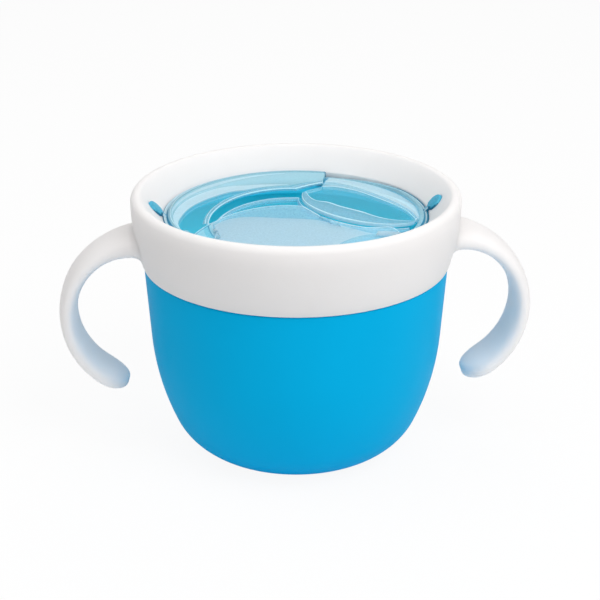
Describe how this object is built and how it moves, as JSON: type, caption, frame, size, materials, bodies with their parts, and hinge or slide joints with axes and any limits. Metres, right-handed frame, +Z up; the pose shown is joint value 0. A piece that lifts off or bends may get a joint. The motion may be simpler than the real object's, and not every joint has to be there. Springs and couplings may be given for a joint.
{
  "type": "toddler snack cup",
  "caption": "Round-bottomed snack cup with a screw-on collar, two open handles and soft overlapping flaps that a small hand pushes through.",
  "frame": {"origin": "middle of the cup's base, on the surface that it stands on", "axes": "+X along the two handles, +Y away from the front flap, +Z up out of the mouth"},
  "size_m": [0.1284, 0.088, 0.0734],
  "materials": {
    "cup_blue": "fine satin moulded polypropylene",
    "collar_white": "smooth satin moulded polypropylene",
    "retainer_white": "plain moulded polypropylene",
    "flap_soft": "glossy translucent thermoplastic elastomer"
  },
  "bodies": {
    "cup": {"cup": "cup_blue"},
    "retainer": {"retainer_ring": "retainer_white"},
    "collar": {"collar": "collar_white", "upper_flap_ring": "flap_soft", "lower_flap_ring": "flap_soft"},
    "front_flap": {"front_flap": "flap_soft"},
    "left_flap": {"left_flap": "flap_soft"},
    "right_flap": {"right_flap": "flap_soft"},
    "inner_flap": {"inner_flap": "flap_soft"}
  },
  "joints": [
    {"name": "lid_lift", "type": "slide", "parent": "cup", "child": "retainer", "axis": [0, 0, 1], "range_m": [0, 0.025]},
    {"name": "lid_turn", "type": "hinge", "parent": "retainer", "child": "collar", "pos_m": [0, 0, 0.06], "axis": [0, 0, 1], "range_deg": [0, 540]},
    {"name": "inner_flap_fold", "type": "hinge", "parent": "collar", "child": "inner_flap", "pos_m": [-0.00086, -0.01968, 0.0637], "axis": [-0.999, 0.0436, 0], "range_deg": [0, 55], "stiffness_Nm_per_rad": 0.006, "springref_deg": -8.59},
    {"name": "front_flap_fold", "type": "hinge", "parent": "collar", "child": "front_flap", "pos_m": [-0.00086, -0.01968, 0.0663], "axis": [-0.999, 0.0436, 0], "range_deg": [0, 55], "stiffness_Nm_per_rad": 0.006, "springref_deg": -8.59},
    {"name": "left_flap_fold", "type": "hinge", "parent": "collar", "child": "left_flap", "pos_m": [-0.0206, -0.0032, 0.0691], "axis": [0.6592, 0.7498, -0.0576], "range_deg": [0, 50], "stiffness_Nm_per_rad": 0.006, "springref_deg": -8.59},
    {"name": "right_flap_fold", "type": "hinge", "parent": "collar", "child": "right_flap", "pos_m": [0.02294, 0.01272, 0.065], "axis": [0.4848, -0.8746, 0], "range_deg": [0, 55], "stiffness_Nm_per_rad": 0.006, "springref_deg": -8.59}
  ],
  "couplings": [
    {"joint": "lid_lift", "follows": "lid_turn", "m_per_rad": 0.0025465},
    {"joint": "front_flap_fold", "follows": "inner_flap_fold", "ratio": 1}
  ]
}
